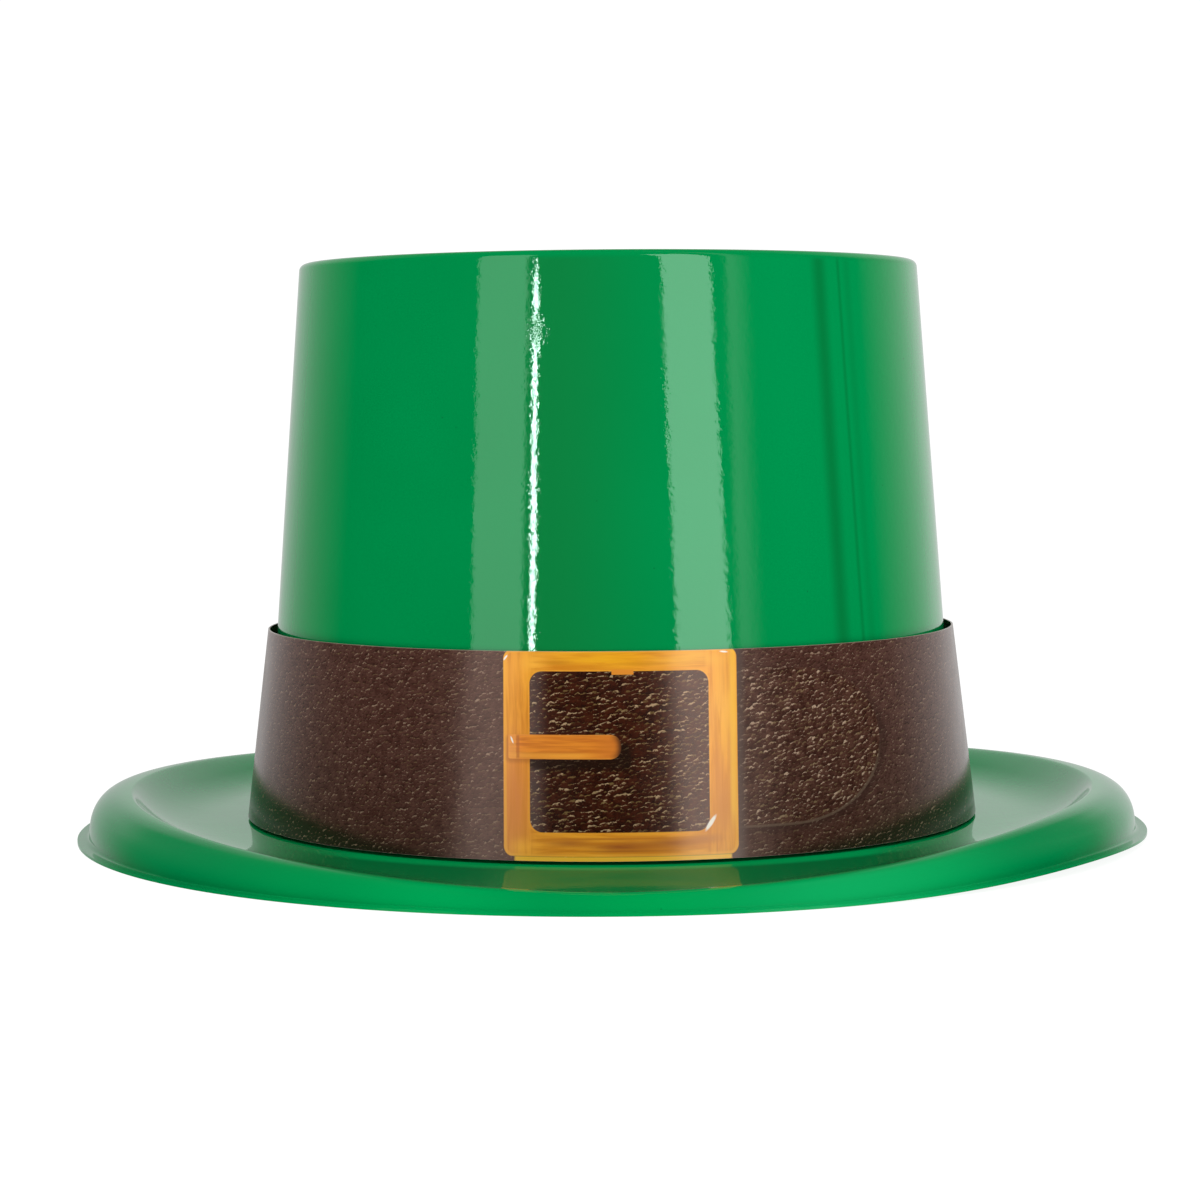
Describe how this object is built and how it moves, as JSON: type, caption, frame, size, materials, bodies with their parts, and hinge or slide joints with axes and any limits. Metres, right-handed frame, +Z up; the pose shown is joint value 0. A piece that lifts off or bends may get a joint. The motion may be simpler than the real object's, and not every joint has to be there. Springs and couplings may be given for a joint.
{
  "type": "leprechaun hat",
  "caption": "Rigid leprechaun party hat: a tall tapering oval crown and an oval brim with rolled sides in one thin shell, with a printed strip band round the crown's foot.",
  "frame": {"origin": "middle of the trim lip's flat underside, on which the hat rests", "axes": "+X to the wearer's left, +Y from the front of the hat to its back, +Z up along the crown"},
  "size_m": [0.252, 0.297, 0.1338],
  "materials": {
    "green_plastic": "high gloss formed sheet, slightly wavy",
    "printed_card": "gloss laminate over a printed leather grain and a printed gold buckle"
  },
  "bodies": {
    "root": {"hat_shell": "green_plastic", "hat_band": "printed_card"}
  },
  "joints": []
}
